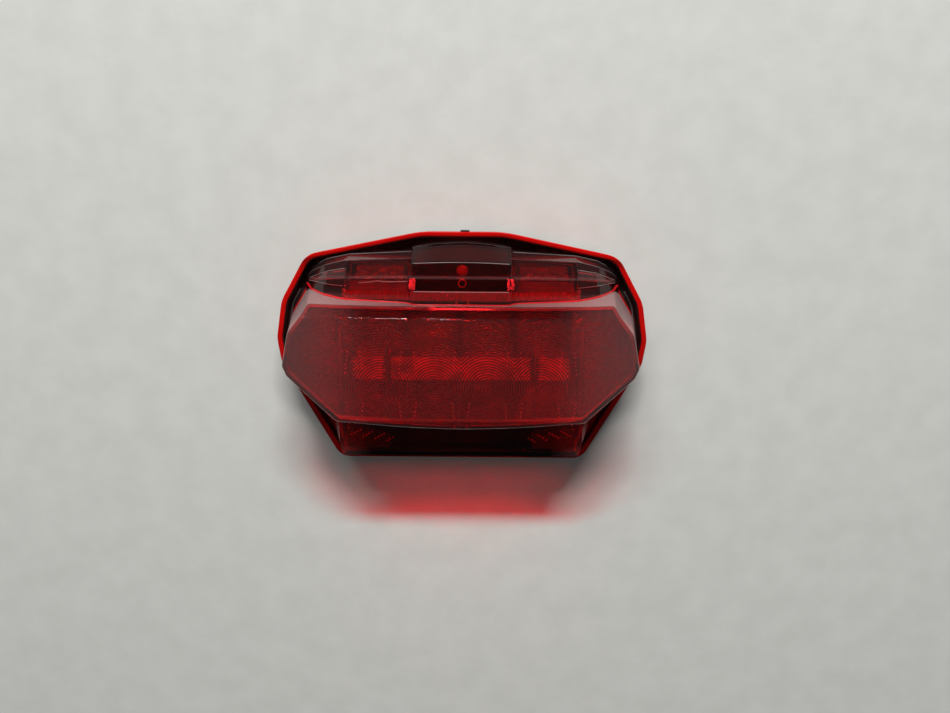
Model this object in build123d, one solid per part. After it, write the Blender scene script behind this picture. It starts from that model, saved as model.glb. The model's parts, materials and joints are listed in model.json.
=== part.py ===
"""Motorcycle tail light: red one-piece lens, black rear housing and LED boards.

Lengths are in millimetres. +X is right, +Y is towards the top edge of the light,
and +Z is the way the light shines. z = 0 is the rear mounting plane.
"""
import math
import os

from build123d import *

os.makedirs("parts", exist_ok=True)

# Driving dimensions
lens_wall = 2.2
lip_width = 2.6
skirt_bottom = 8.0
skirt_top = 24.0
web_bottom = 13.6
web_top = 16.0
lower_front = 40.0
face_crease = 57.6
face_crown = 58.5
wrap_radius = 600.0
front_round = 1.8
strip_round = 0.6
flange_bottom = 4.4
flange_top = 7.4
back_wall = 2.6
tub_inset = 7.5
tub_wall = 2.4
tub_top = 13.4
board_bottom = 11.4
board_top = 13.0
led_spacing = 26.0
led_row_y = -16.0
bezel_bottom = 19.0
bezel_top = 20.4
rib_top = 44.8
optic_bottom = 45.0
optic_top = 46.8
bolt_x = 50.0
bolt_y = 30.0
socket_y = -40.0

# Right half of the rim: x, y and corner radius, from the top going clockwise
rim_half = [
    (21.0, 59.1, 60.0),
    (79.0, 47.2, 12.0),
    (92.2, 23.8, 18.0),
    (95.3, 4.5, 15.0),
    (93.4, -8.0, 12.0),
    (64.0, -59.1, 9.0),
]

# Main lens body: x, y at the web and x, y at z = 60, then the corner radius
body_low_z = 16.0
body_high_z = 60.0
body_centre_top = (0.0, 32.4, 0.0, 23.6, 900.0)
body_half = [
    (78.4, 32.8, 71.2, 22.6, 3.0),
    (89.1, 15.7, 81.2, 10.6, 9.0),
    (90.9, -3.0, 84.8, -5.1, 3.5),
    (88.6, -9.5, 82.7, -9.5, 3.0),
    (66.3, -36.0, 58.8, -30.8, 5.0),
]
body_centre_low = (0.0, -40.6, 0.0, -35.4, 450.0)

# Lower lens body: x, y at the web and x, y at its front, then the corner radius
lower_half = [
    (68.2, -24.0, 61.2, -24.0, 0.0),
    (68.2, -43.0, 61.3, -45.5, 2.0),
    (61.0, -54.8, 60.0, -52.8, 3.6),
]

# Upper strip: y, z cuts at rising x. Each runs wall foot, wall top, shoulder,
# band, buried edge and buried foot.
strip_cuts = [
    (0.0, [(50.6, 10), (49.8, 29.0), (46.6, 40.5), (31.0, 47.8), (20, 48.8), (20, 10)]),
    (25.0, [(50.4, 10), (49.6, 28.4), (46.4, 39.8), (31.0, 47.2), (20, 48.2), (20, 10)]),
    (56.5, [(48.4, 10), (47.9, 26.6), (45.2, 35.6), (31.0, 42.2), (20, 43.2), (20, 10)]),
    (68.0, [(45.9, 10), (45.4, 23.5), (42.4, 30.5), (31.0, 35.8), (20, 36.8), (20, 10)]),
    (76.0, [(41.8, 10), (41.4, 18.8), (39.0, 22.8), (30.5, 27.0), (20, 28.0), (20, 10)]),
    (80.6, [(37.2, 10), (37.0, 15.4), (35.6, 16.8), (29.0, 18.4), (20, 18.8), (20, 10)]),
]

# Raised windows at each side of the strip, with a ridge along the middle
window_cuts = [
    (23.0, [(46.9, 35), (46.9, 42.4), (38.1, 49.8), (31.2, 49.3), (31.2, 35)]),
    (56.0, [(45.3, 31), (45.3, 38.4), (37.3, 44.8), (31.2, 44.3), (31.2, 31)]),
]

# Pointed ends of the strip
arrow_cuts = [
    (54.5, [(42.0, 31), (42.0, 40.4), (37.4, 44.2), (33.0, 43.6), (33.0, 31)]),
    (66.0, [(39.9, 28), (39.9, 34.6), (36.6, 38.2), (33.6, 37.4), (33.6, 28)]),
    (77.0, [(35.8, 20), (35.8, 25.2), (35.1, 26.2), (34.4, 25.9), (34.4, 20)]),
]

# Centre block of the strip, a little bowed
block_cuts = [
    (-24.0, [(52.6, 10), (51.9, 36.6), (44.4, 45.2), (37.9, 50.0), (31.2, 50.1), (20, 50.1), (20, 10)]),
    (0.0, [(55.2, 10), (54.2, 37.8), (45.2, 46.2), (38.4, 50.8), (30.2, 51.0), (20, 51.0), (20, 10)]),
    (24.0, [(52.6, 10), (51.9, 36.6), (44.4, 45.2), (37.9, 50.0), (31.2, 50.1), (20, 50.1), (20, 10)]),
]


def save(shape, name):
    """Write one node."""
    export_step(shape, "parts/" + name + ".step")


def inset(points, distance):
    """Move every side of a polygon inwards by a distance."""
    area = 0.0
    count = len(points)
    for index in range(count):
        here = points[index]
        following = points[(index + 1) % count]
        area += here[0] * following[1] - following[0] * here[1]
    side = 1.0 if area > 0 else -1.0
    lines = []
    for index in range(count):
        here = points[index]
        following = points[(index + 1) % count]
        dx = following[0] - here[0]
        dy = following[1] - here[1]
        length = math.hypot(dx, dy)
        nx = -dy / length * side
        ny = dx / length * side
        lines.append((here[0] + nx * distance, here[1] + ny * distance, dx, dy))
    moved = []
    for index in range(count):
        ax, ay, adx, ady = lines[index - 1]
        bx, by, bdx, bdy = lines[index]
        cross = adx * bdy - ady * bdx
        along = ((bx - ax) * bdy - (by - ay) * bdx) / cross
        moved.append((ax + adx * along, ay + ady * along))
    return moved


def mirrored(half):
    """A closed outline from its right half, given top to bottom."""
    left = [(-entry[0], entry[1]) + tuple(entry[2:]) for entry in reversed(half)]
    return list(half) + left


def outline(points, radii, height):
    """A flat face at a height with rounded corners."""
    places = [(x, y, height) for x, y in points]
    return make_face(FilletPolyline(*places, radius=radii, close=True))


def rim_face(distance, height):
    """The rim outline, moved inwards."""
    half = mirrored(rim_half)
    points = inset([(entry[0], entry[1]) for entry in half], distance)
    radii = [max(entry[2] - distance, 0.6) for entry in half]
    return outline(points, radii, height)


def plate(face, thickness):
    """A flat plate that stands on a face."""
    return extrude(face, amount=thickness, dir=(0, 0, 1))


def drafted_face(rows, low, high, distance, height):
    """One cut through a drafted wall."""
    share = (height - low) / (high - low)
    points = []
    for row in rows:
        x = row[0] + (row[2] - row[0]) * share
        y = row[1] + (row[3] - row[1]) * share
        points.append((x, y))
    radii = [max(row[4] - distance, 0.4) if row[4] > 0 else 0 for row in rows]
    return outline(inset(points, distance), radii, height)


def body_rows():
    """The main body outline, clockwise from the top centre."""
    right = list(body_half)
    left = [(-row[0], row[1], -row[2], row[3], row[4]) for row in reversed(right)]
    return [body_centre_top] + right + [body_centre_low] + left


def lower_rows():
    """The lower body outline."""
    right = list(lower_half)
    left = [(-row[0], row[1], -row[2], row[3], row[4]) for row in reversed(right)]
    return right + left


def body_face(distance, height):
    """One cut through the main body."""
    return drafted_face(body_rows(), body_low_z, body_high_z, distance, height)


def lower_face(distance, height):
    """One cut through the lower body."""
    return drafted_face(lower_rows(), body_low_z, lower_front, distance, height)


def front_form(distance):
    """The curved front of the main body, with its bevels, wrapped about Y."""
    profile = [
        (-46.0, 0.0),
        (-46.0, 45.2),
        (-29.5, face_crease),
        (-5.5, face_crown),
        (19.4, face_crease),
        (34.9, 45.4),
        (34.9, 0.0),
    ]
    radii = [0, 0, 1.6, 400, 1.6, 0, 0]
    moved = inset(profile, distance)
    places = [(0, y, z) for y, z in moved]
    face = make_face(FilletPolyline(*places, radius=radii, close=True))
    spin = Axis((0, 0, face_crease - wrap_radius), (0, 1, 0))
    start = face.rotate(spin, -12)
    return revolve(start, spin, 24)


def main_body(distance):
    """The main lens body, or its hollow when moved inwards."""
    low = body_face(distance, 10.0)
    high = body_face(distance, 62.0)
    solid = loft([low, high], ruled=True) & front_form(distance)
    if distance > 0:
        return solid
    edges = []
    for face in solid.faces():
        is_wall = abs(face.normal_at().Z) < 0.45 and face.center().Z < 50
        if is_wall:
            edges += [edge for edge in face.edges() if edge.center().Z > 42]
    return fillet(edges, front_round)


def lower_body(distance):
    """The lower lens body, or its hollow when moved inwards."""
    low = lower_face(distance, 10.0)
    high = lower_face(distance, lower_front - distance)
    return loft([low, high], ruled=True)


def cut_face(x, points, distance):
    """One upright cut of the strip."""
    moved = inset(points, distance)
    return make_face(Polyline(*[(x, y, z) for y, z in moved], close=True))


def cut_body(cuts, distance, smooth, low_y, low_z):
    """A body through upright cuts, shortened at both ends when moved inwards.

    The outer one has its edges rounded beyond low_y and low_z.
    """
    faces = [cut_face(x, points, distance) for x, points in cuts]
    solid = loft(faces, ruled=not smooth)
    if distance == 0:
        edges = [edge for edge in solid.edges() if edge.center().Y > low_y]
        edges = [edge for edge in edges if edge.center().Z > low_z]
        return fillet(edges, strip_round) if edges else solid
    low = cuts[0][0] + distance
    high = cuts[-1][0] - distance
    keep = Pos((low + high) / 2, 30, 30) * Box(high - low, 120, 120)
    return solid & keep


def both_sides(shape):
    """A shape and its mirror image across the middle."""
    return [shape, mirror(shape, about=Plane.YZ)]


def strip_body(distance):
    """The upper strip without its raised windows."""
    right = strip_cuts[1:]
    left = [(-x, points) for x, points in reversed(right)]
    cuts = left + [strip_cuts[0]] + right
    return cut_body(cuts, distance, False, 100, 100)


def lens_form(distance):
    """Everything that stands forward of the web."""
    shape = main_body(distance)
    shape += lower_body(distance)
    shape += strip_body(distance)
    shape += cut_body(block_cuts, distance, True, 28, 30)
    for item in both_sides(cut_body(window_cuts, distance, False, 20, 37)):
        shape += item
    for item in both_sides(cut_body(arrow_cuts, distance * 0.8, False, 20, 37)):
        shape += item
    return shape


# Lens
lens_skin = lens_form(0)
lens_hollow = lens_form(lens_wall)
skirt = plate(rim_face(0, skirt_bottom), skirt_top - skirt_bottom)
skirt -= plate(rim_face(lip_width, skirt_bottom), skirt_top - skirt_bottom)
skirt = fillet(skirt.edges().group_by(Axis.Z)[-1], 0.6)
save(skirt, "lens_rim")
web = plate(rim_face(lip_width, web_bottom), web_top - web_bottom)
below_web = plate(rim_face(-20, -10), 10 + web_bottom)
outer_lens = web + (lens_skin - below_web)
outer_lens -= lens_hollow
save(outer_lens, "outer_lens")

# Rear housing
flange = plate(rim_face(0.2, flange_bottom), flange_top - flange_bottom)
tub = plate(rim_face(tub_inset, 0), tub_top)
tub_space = plate(rim_face(tub_inset + tub_wall, back_wall), 40)
flange_space = plate(rim_face(tub_inset + tub_wall, flange_bottom - 1), 20)
rear_housing = (flange - flange_space) + (tub - tub_space)
weld_rib = plate(rim_face(lip_width + 0.4, flange_top), web_bottom - 0.2 - flange_top)
weld_rib -= plate(rim_face(lip_width + 2.0, flange_top), 20)
rear_housing += weld_rib

# Thin locating tab outside the top edge of the rim, rooted in the flange
tab_x = 1.2
tab_width = 4.4
tab_thickness = 0.55
tab_gap = 0.1
tab_root = 0.6
tab_top = 23.6
tab_height = tab_top - flange_bottom
tab_front = rim_half[0][1] + tab_gap + tab_thickness
tab_middle_z = flange_bottom + tab_height / 2
tab_upright = Pos(tab_x, tab_front - tab_thickness / 2, tab_middle_z)
rear_housing += tab_upright * Box(tab_width, tab_thickness, tab_height)
tab_foot_depth = tab_thickness + tab_gap + tab_root
tab_foot = Pos(tab_x, tab_front - tab_foot_depth / 2, (flange_bottom + flange_top) / 2)
rear_housing += tab_foot * Box(tab_width, tab_foot_depth, flange_top - flange_bottom)

bolt_spots = [(x, y) for x in (-bolt_x, bolt_x) for y in (-bolt_y, bolt_y)]
insert_radius = 3.5
insert_length = 9.0
for x, y in bolt_spots:
    rear_housing += Pos(x, y, 5.3) * Cylinder(5.4, 10.6)

standoff_spots = [(-66.0, 10.0), (66.0, 10.0), (-26.0, -21.5), (26.0, -21.5)]
standoff_top = 9.2
standoff_height = standoff_top - back_wall
for x, y in standoff_spots:
    rear_housing += Pos(x, y, back_wall + standoff_height / 2) * Cylinder(3.6, standoff_height)

post_spots = [(-40.0, 38.0), (40.0, 38.0)]
post_top = 20.0
post_height = post_top - back_wall
for x, y in post_spots:
    rear_housing += Pos(x, y, back_wall + post_height / 2) * Cylinder(3.0, post_height)

bezel_post_spots = [(x, -49.5) for x in (-50.0, 50.0)]
bezel_post_spots += [(x, 20.5) for x in (-76.0, 76.0)]
bezel_post_height = bezel_bottom - back_wall
for x, y in bezel_post_spots:
    rear_housing += Pos(x, y, back_wall + bezel_post_height / 2) * Cylinder(2.4, bezel_post_height)

rib_spots = [-36.0, -12.0, 12.0, 36.0]
for x in rib_spots:
    rear_housing += Pos(x, 0, back_wall + 1.6) * Box(1.6, 44.0, 3.2)

socket_width = 24.0
socket_depth = 14.0
socket_hole = Pos(0, socket_y, 0) * Box(socket_width + 0.4, socket_depth + 0.4, 20)
rear_housing -= socket_hole
vent_spot = (-24.0, 36.0)
rear_housing -= Pos(vent_spot[0], vent_spot[1], 0) * Cylinder(4.6, 20)
for x, y in bolt_spots:
    rear_housing -= Pos(x, y, insert_length / 2) * Cylinder(insert_radius, insert_length)
for x, y in standoff_spots:
    rear_housing -= Pos(x, y, 7.0) * Cylinder(1.55, 6.0)
for x, y in post_spots:
    rear_housing -= Pos(x, y, 17.0) * Cylinder(1.3, 8.0)
save(rear_housing, "rear_housing")

seal_outer = plate(rim_face(0.5, flange_top), skirt_bottom - flange_top)
seal_inner = plate(rim_face(lip_width - 0.1, flange_top), skirt_bottom - flange_top)
perimeter_seal = seal_outer - seal_inner
save(perimeter_seal, "perimeter_seal")

# Threaded inserts for the mounting bolts
thread_radius = 2.1
inserts = []
for x, y in bolt_spots:
    sleeve = Pos(x, y, insert_length / 2) * Cylinder(insert_radius - 0.05, insert_length)
    sleeve -= Pos(x, y, insert_length / 2) * Cylinder(thread_radius, insert_length)
    inserts.append(sleeve)
save(Compound(children=inserts), "threaded_inserts")

# Connector socket, its pins and its seal
socket_floor = 11.0
socket_top = 13.2
socket_body = Pos(0, socket_y, socket_top / 2 + 0.2)
socket_shell = socket_body * Box(socket_width, socket_depth, socket_top - 0.4)
socket_space = Pos(0, socket_y, socket_floor / 2) * Box(20.0, 10.0, socket_floor)
socket_shell -= socket_space
socket_collar = Pos(0, socket_y, back_wall + 0.6) * Box(socket_width + 4, socket_depth + 4, 1.2)
socket_collar -= Pos(0, socket_y, 5) * Box(socket_width - 1, socket_depth - 1, 12)
socket_shell += socket_collar
pin_spots = [-6.0, 0.0, 6.0]
for x in pin_spots:
    socket_shell -= Pos(x, socket_y, 12) * Cylinder(0.85, 6)
save(socket_shell, "connector_socket")

pins = []
for x in pin_spots:
    pins.append(Pos(x, socket_y, 9.75) * Cylinder(0.8, 11.5))
save(Compound(children=pins), "connector_pins")

seal_block = Pos(0, socket_y, 10.2) * Box(19.6, 9.6, 1.4)
for x in pin_spots:
    seal_block -= Pos(x, socket_y, 10.2) * Cylinder(1.2, 4)
save(seal_block, "connector_seal")

# Pressure vent in the back wall
vent = Pos(vent_spot[0], vent_spot[1], 2.6)
vent_body = vent * Cylinder(4.5, 4.4)
vent_body += vent * Pos(0, 0, 0.9) * Cylinder(5.6, 1.4)
vent_body -= vent * Pos(0, 0, -1.4) * Cylinder(3.2, 3.2)
vent_body -= vent * Cylinder(1.6, 8)
save(vent_body, "vent_body")
vent_membrane = vent * Pos(0, 0, -0.1) * Cylinder(3.1, 0.4)
save(vent_membrane, "vent_membrane")

# Main board stack: heat spreader, thermal pad and board
board_points = [
    (-72.0, -10.0),
    (-72.0, 16.0),
    (72.0, 16.0),
    (72.0, -10.0),
    (64.0, -26.0),
    (-64.0, -26.0),
]
board_radii = [2.0] * len(board_points)
spreader = plate(outline(inset(board_points, 0.5), board_radii, standoff_top), 1.8)
pad = plate(outline(inset(board_points, 1.0), board_radii, standoff_top + 1.8), 0.4)
board = plate(outline(board_points, board_radii, board_bottom), board_top - board_bottom)
for x, y in standoff_spots:
    clear_hole = Pos(x, y, 11) * Cylinder(1.7, 10)
    spreader -= clear_hole
    pad -= clear_hole
    board -= clear_hole
bolt_clearance = [Pos(x, y, 8) * Cylinder(6.2, 14) for x, y in bolt_spots]
for gap in bolt_clearance:
    spreader -= gap
    pad -= gap
    board -= gap
save(spreader, "heat_spreader")
save(pad, "thermal_pad")
save(board, "main_board")

screws = []
for x, y in standoff_spots:
    screw = Pos(x, y, 9.3) * Cylinder(1.5, 7.4)
    screw += Pos(x, y, board_top + 0.9) * Cylinder(2.9, 1.8)
    screw -= Pos(x, y, board_top + 1.5) * extrude(RegularPolygon(1.3, 6), amount=1.5)
    screws.append(screw)
save(Compound(children=screws), "board_screws")

# Stop lamps: square bodies with domes
led_spots = [led_spacing * (index - 2.5) for index in range(6)]
led_bodies = []
led_domes = []
for x in led_spots:
    led_bodies.append(Pos(x, led_row_y, board_top + 0.6) * Box(5.0, 5.0, 1.2))
    dome = Pos(x, led_row_y, board_top + 1.2) * Sphere(2.0)
    dome &= Pos(x, led_row_y, board_top + 3.2) * Box(6, 6, 4)
    led_domes.append(dome)
save(Compound(children=led_bodies), "stop_led_bodies")
save(Compound(children=led_domes), "stop_led_domes")

# Small parts on the main board
resistors = []
for index in range(10):
    x = -54.0 + index * 12.0
    resistors.append(Pos(x, 2.0, board_top + 0.3) * Box(3.2, 1.6, 0.6))
save(Compound(children=resistors), "resistors")

driver_chip = Pos(0, 9.0, board_top + 1.0) * Box(5.0, 6.0, 1.6)
save(driver_chip, "driver_chip")

leads = []
for side in (-1, 1):
    for index in range(4):
        y = 9.0 + (index - 1.5) * 1.27
        leads.append(Pos(side * 3.1, y, board_top + 0.2) * Box(1.2, 0.5, 0.4))
save(Compound(children=leads), "driver_leads")

diodes = []
capacitors = []
for side in (-1, 1):
    diodes.append(Pos(side * 18.0, 9.0, board_top + 1.1) * Box(4.6, 3.6, 2.2))
    capacitors.append(Pos(side * 30.0, 9.0, board_top + 1.3) * Box(6.0, 3.2, 2.6))
save(Compound(children=diodes), "diodes")
save(Compound(children=capacitors), "capacitors")

# Upper board and its lamps
upper_bottom = post_top
upper_thickness = 1.6
upper_top = upper_bottom + upper_thickness
upper_y = 36.0
upper_depth = 15.0
upper_middle = Pos(0, upper_y, upper_bottom + upper_thickness / 2)
upper_board = upper_middle * Box(104.0, upper_depth, upper_thickness)
for x, y in post_spots:
    upper_board -= Pos(x, y, upper_bottom) * Cylinder(1.5, 8)
save(upper_board, "upper_board")

upper_screws = []
for x, y in post_spots:
    screw = Pos(x, y, 18.4) * Cylinder(1.25, 6.4)
    screw += Pos(x, y, upper_top + 0.8) * Cylinder(2.4, 1.6)
    upper_screws.append(screw)
save(Compound(children=upper_screws), "upper_board_screws")

marker_radius = 2.5
marker_y = 39.5
marker_led = Pos(0, marker_y, upper_top + 4.6) * Cylinder(marker_radius, 7.2)
marker_led += Pos(0, marker_y, upper_top + 8.2) * Sphere(marker_radius)
marker_led += Pos(0, marker_y, upper_top + 1.5) * Cylinder(2.9, 1.0)
save(marker_led, "marker_led")

# Black shroud around the marker lamp: a floor and an upright wall at each side
shroud_floor = 1.0
shroud_wall = 1.8
shroud_wall_x = 24.2
shroud_hole_radius = 3.3
shroud_width = 2 * (shroud_wall_x + shroud_wall)
shroud = Pos(0, upper_y, upper_top + shroud_floor / 2) * Box(shroud_width, upper_depth, shroud_floor)
shroud -= Pos(0, marker_y, upper_top) * Cylinder(shroud_hole_radius, 6)
shroud_points = [
    (27.5, upper_top),
    (45.0, upper_top),
    (45.0, 28.0),
    (42.6, 36.8),
    (31.0, 43.4),
    (27.5, 43.6),
]
shroud_side = make_face(Polyline(*[(shroud_wall_x, y, z) for y, z in shroud_points], close=True))
for item in both_sides(extrude(shroud_side, amount=shroud_wall, dir=(1, 0, 0))):
    shroud += item
save(shroud, "marker_shroud")

side_lamps = []
for x in (-48.0, -32.0, 32.0, 48.0):
    side_lamps.append(Pos(x, 33.0, upper_top + 0.9) * Box(3.5, 2.8, 1.8))
save(Compound(children=side_lamps), "side_marker_leds")

# Stepped light guides behind the side windows
guide_steps = [(29.0, 30.0), (34.6, 30.0), (34.6, 32.4), (41.0, 32.4), (41.0, 29.6)]
guide_steps += [(46.6, 29.6), (46.6, 31.6), (52.0, 31.6), (52.0, 25.6), (29.0, 25.6)]
guide_face = make_face(Polyline(*[(x, 30.6, z) for x, z in guide_steps], close=True))
guide = extrude(guide_face, amount=11.0, dir=(0, 1, 0))
save(Compound(children=both_sides(guide)), "side_light_guides")

# Black inner bezel: floor with lamp holes, upright dividers and a wall along their lower ends
bezel_main = plate(body_face(lens_wall + 0.6, bezel_bottom), bezel_top - bezel_bottom)
bezel_cover = Pos(0, -6.0, 20) * Box(200, 54.0, 20)
bezel = bezel_main & bezel_cover
bezel += plate(lower_face(lens_wall + 0.6, bezel_bottom), bezel_top - bezel_bottom)
bezel -= Pos(0, 36, 20) * Box(200, 26.0, 20)
for x in led_spots:
    bezel -= Pos(x, led_row_y, bezel_bottom + 0.7) * Cylinder(6.0, 6)
    ring = Pos(x, led_row_y, bezel_top + 2.5) * Cone(7.0, 9.0, 5.0)
    ring -= Pos(x, led_row_y, bezel_top + 2.5) * Cone(6.0, 8.0, 5.0)
    bezel += ring
divider_foot = bezel_top - 0.4
divider_height = rib_top - divider_foot
divider_z = divider_foot + divider_height / 2
divider_thickness = 1.6
end_divider_x = 58.4
for x in (-end_divider_x, -36.0, 36.0, end_divider_x):
    bezel += Pos(x, -6.5, divider_z) * Box(divider_thickness, 45.0, divider_height)
lower_wall_y = -29.4
lower_wall_length = 2 * end_divider_x + divider_thickness
bezel += Pos(0, lower_wall_y, divider_z) * Box(lower_wall_length, 1.2, divider_height)
save(bezel, "inner_bezel")

# Fresnel plate behind the main face, standing on the dividers
fresnel_plate = plate(body_face(lens_wall + 0.8, optic_bottom), optic_top - optic_bottom)
save(fresnel_plate, "fresnel_plate")

# Reflex panels behind both ends of the lower window
reflex = Pos(47.0, -43.5, lower_front - lens_wall - 1.4) * Box(22.0, 12.0, 1.8)
reflex_right = reflex
reflex_left = mirror(reflex, about=Plane.YZ)
save(reflex_left, "reflex_panel_left")
save(reflex_right, "reflex_panel_right")


def wire(points, bends, radius):
    """A round wire of straight runs joined by tangent arcs."""
    path = FilletPolyline(*points, radius=bends)
    start = Plane(path @ 0, z_dir=path % 0)
    return sweep(start * Circle(radius), path=path)


# Inner wires
wire_radius = 0.6
wire_start = 15.6
wire_names = ["ground_wire", "tail_wire", "stop_wire"]
for name, x in zip(wire_names, pin_spots):
    points = [
        (x, socket_y, wire_start),
        (x, socket_y, 17.4),
        (x, -23.5, 17.4),
        (x, -23.5, board_top),
    ]
    save(wire(points, [1.5, 1.5], wire_radius), name)

jumpers = []
for x in (-3.0, 3.0):
    points = [(x, 14.0, board_top), (x, 14.0, 16.8), (x, 34.0, 16.8), (x, 34.0, upper_bottom)]
    jumpers.append(wire(points, [1.6, 1.6], wire_radius))
save(Compound(children=jumpers), "jumper_wires")
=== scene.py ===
"""Looks of the motorcycle tail light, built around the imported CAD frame. Lengths are in metres."""
import json
import math

import bmesh
import bpy
from mathutils import Matrix, Vector
from mathutils.bvhtree import BVHTree


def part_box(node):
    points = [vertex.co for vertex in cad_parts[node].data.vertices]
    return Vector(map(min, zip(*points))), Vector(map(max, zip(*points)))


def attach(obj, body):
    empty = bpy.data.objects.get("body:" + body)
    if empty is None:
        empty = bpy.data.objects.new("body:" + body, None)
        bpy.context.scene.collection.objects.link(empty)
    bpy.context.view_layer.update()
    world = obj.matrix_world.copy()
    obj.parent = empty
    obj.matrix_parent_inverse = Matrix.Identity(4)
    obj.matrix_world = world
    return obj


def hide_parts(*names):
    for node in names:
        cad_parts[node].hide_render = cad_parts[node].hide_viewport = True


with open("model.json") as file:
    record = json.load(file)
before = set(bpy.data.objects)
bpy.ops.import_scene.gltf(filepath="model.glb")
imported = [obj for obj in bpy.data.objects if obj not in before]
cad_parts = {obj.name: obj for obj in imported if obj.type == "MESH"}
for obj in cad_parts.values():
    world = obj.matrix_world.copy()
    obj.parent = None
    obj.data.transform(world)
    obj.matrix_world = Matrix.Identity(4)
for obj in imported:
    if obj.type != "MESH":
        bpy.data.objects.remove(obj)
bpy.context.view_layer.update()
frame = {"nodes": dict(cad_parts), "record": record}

nodes = frame["nodes"]
scene = bpy.context.scene
MM = 0.001


# ---------------------------------------------------------------- materials
class Tree:
    """Short ways to add and join shader nodes."""

    def __init__(self, name):
        self.material = bpy.data.materials.new(name)
        self.material.use_nodes = True
        self.tree = self.material.node_tree
        self.tree.nodes.clear()
        self.output = self.tree.nodes.new("ShaderNodeOutputMaterial")
        texture_space = self.tree.nodes.new("ShaderNodeTexCoord")
        self.place = texture_space.outputs["Object"]
        self.facing = texture_space.outputs["Normal"]

    def node(self, kind, **values):
        made = self.tree.nodes.new(kind)
        for key, value in values.items():
            setattr(made, key, value)
        return made

    def join(self, source, target):
        self.tree.links.new(source, target)

    def number(self, operation, *values, clamp=False):
        made = self.node("ShaderNodeMath", operation=operation, use_clamp=clamp)
        for index, value in enumerate(values):
            if isinstance(value, (int, float)):
                made.inputs[index].default_value = value
            else:
                self.join(value, made.inputs[index])
        return made.outputs[0]

    def product(self, *values):
        total = values[0]
        for value in values[1:]:
            total = self.number("MULTIPLY", total, value)
        return total

    def noise(self, scale, detail=3.0, rough=0.55, stretch=None):
        made = self.node("ShaderNodeTexNoise")
        made.inputs["Scale"].default_value = scale
        made.inputs["Detail"].default_value = detail
        made.inputs["Roughness"].default_value = rough
        source = self.place
        if stretch:
            mapping = self.node("ShaderNodeMapping")
            mapping.inputs["Scale"].default_value = stretch
            self.join(source, mapping.inputs["Vector"])
            source = mapping.outputs[0]
        self.join(source, made.inputs["Vector"])
        return made.outputs["Fac"]

    def span(self, value, low, high, to_low=0.0, to_high=1.0):
        made = self.node("ShaderNodeMapRange")
        self.join(value, made.inputs["Value"])
        made.inputs["From Min"].default_value = low
        made.inputs["From Max"].default_value = high
        made.inputs["To Min"].default_value = to_low
        made.inputs["To Max"].default_value = to_high
        return made.outputs["Result"]

    def blend(self, factor, first, second):
        made = self.node("ShaderNodeMix", data_type="RGBA")
        self.join(factor, made.inputs["Factor"])
        made.inputs["A"].default_value = (*first, 1)
        made.inputs["B"].default_value = (*second, 1)
        return made.outputs["Result"]

    def parts(self, vector):
        made = self.node("ShaderNodeSeparateXYZ")
        self.join(vector, made.inputs[0])
        return made.outputs

    def bump(self, height, strength, distance):
        made = self.node("ShaderNodeBump")
        made.inputs["Strength"].default_value = strength
        made.inputs["Distance"].default_value = distance
        self.join(height, made.inputs["Height"])
        return made.outputs["Normal"]

    def shader(self, **values):
        made = self.node("ShaderNodeBsdfPrincipled")
        for key, value in values.items():
            made.inputs[key.replace("_", " ")].default_value = value
        return made

    def mix(self, factor, first, second):
        made = self.node("ShaderNodeMixShader")
        if isinstance(factor, (int, float)):
            made.inputs["Fac"].default_value = factor
        else:
            self.join(factor, made.inputs["Fac"])
        self.join(first, made.inputs[1])
        self.join(second, made.inputs[2])
        return made.outputs[0]

    def finish(self, surface):
        self.join(surface, self.output.inputs["Surface"])
        return self.material

    def finish_clear(self, surface, light_tint):
        """Lamps shine through the finish, tinted by a colour or a socket."""
        path = self.node("ShaderNodeLightPath")
        through = self.node("ShaderNodeBsdfTransparent")
        if isinstance(light_tint, tuple):
            through.inputs["Color"].default_value = (*light_tint, 1)
        else:
            self.join(light_tint, through.inputs["Color"])
        return self.finish(self.mix(path.outputs["Is Shadow Ray"], surface, through.outputs[0]))


def solid_finish(name, dark, light, rough, grain=900, relief=0.25, depth=0.00008, **values):
    """An opaque finish with grain, colour variation and uneven gloss."""
    t = Tree(name)
    shader = t.shader(**values)
    broad = t.noise(60, 4)
    fine = t.noise(grain, 2)
    t.join(t.blend(t.span(broad, 0.35, 0.65), dark, light), shader.inputs["Base Color"])
    gloss = t.span(broad, 0.3, 0.7, rough * 0.85, min(rough * 1.2, 1))
    t.join(gloss, shader.inputs["Roughness"])
    t.join(t.bump(fine, relief, depth), shader.inputs["Normal"])
    return t.finish(shader.outputs[0])


def clear_finish(name, tint, light_tint, rough, haze_color, haze, ior=1.49, wobble=0.04):
    """Clear plastic that tints what is seen through it, with a little milky scatter."""
    t = Tree(name)
    shader = t.shader(Transmission_Weight=1.0, IOR=ior)
    broad = t.noise(45, 3)
    paler = [channel * 0.9 for channel in tint]
    t.join(t.blend(t.span(broad, 0.3, 0.7), tint, paler), shader.inputs["Base Color"])
    marks = t.noise(260, 4, 0.7, stretch=(1, 3, 1))
    t.join(t.span(marks, 0.35, 0.8, rough, rough + 0.05), shader.inputs["Roughness"])
    normal = t.bump(broad, wobble, 0.0004)
    t.join(normal, shader.inputs["Normal"])
    milk = t.shader(Roughness=0.5)
    darker = [channel * 0.7 for channel in haze_color]
    t.join(t.blend(t.span(marks, 0.3, 0.7), haze_color, darker), milk.inputs["Base Color"])
    return t.finish_clear(t.mix(haze, shader.outputs[0], milk.outputs[0]), light_tint)


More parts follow.
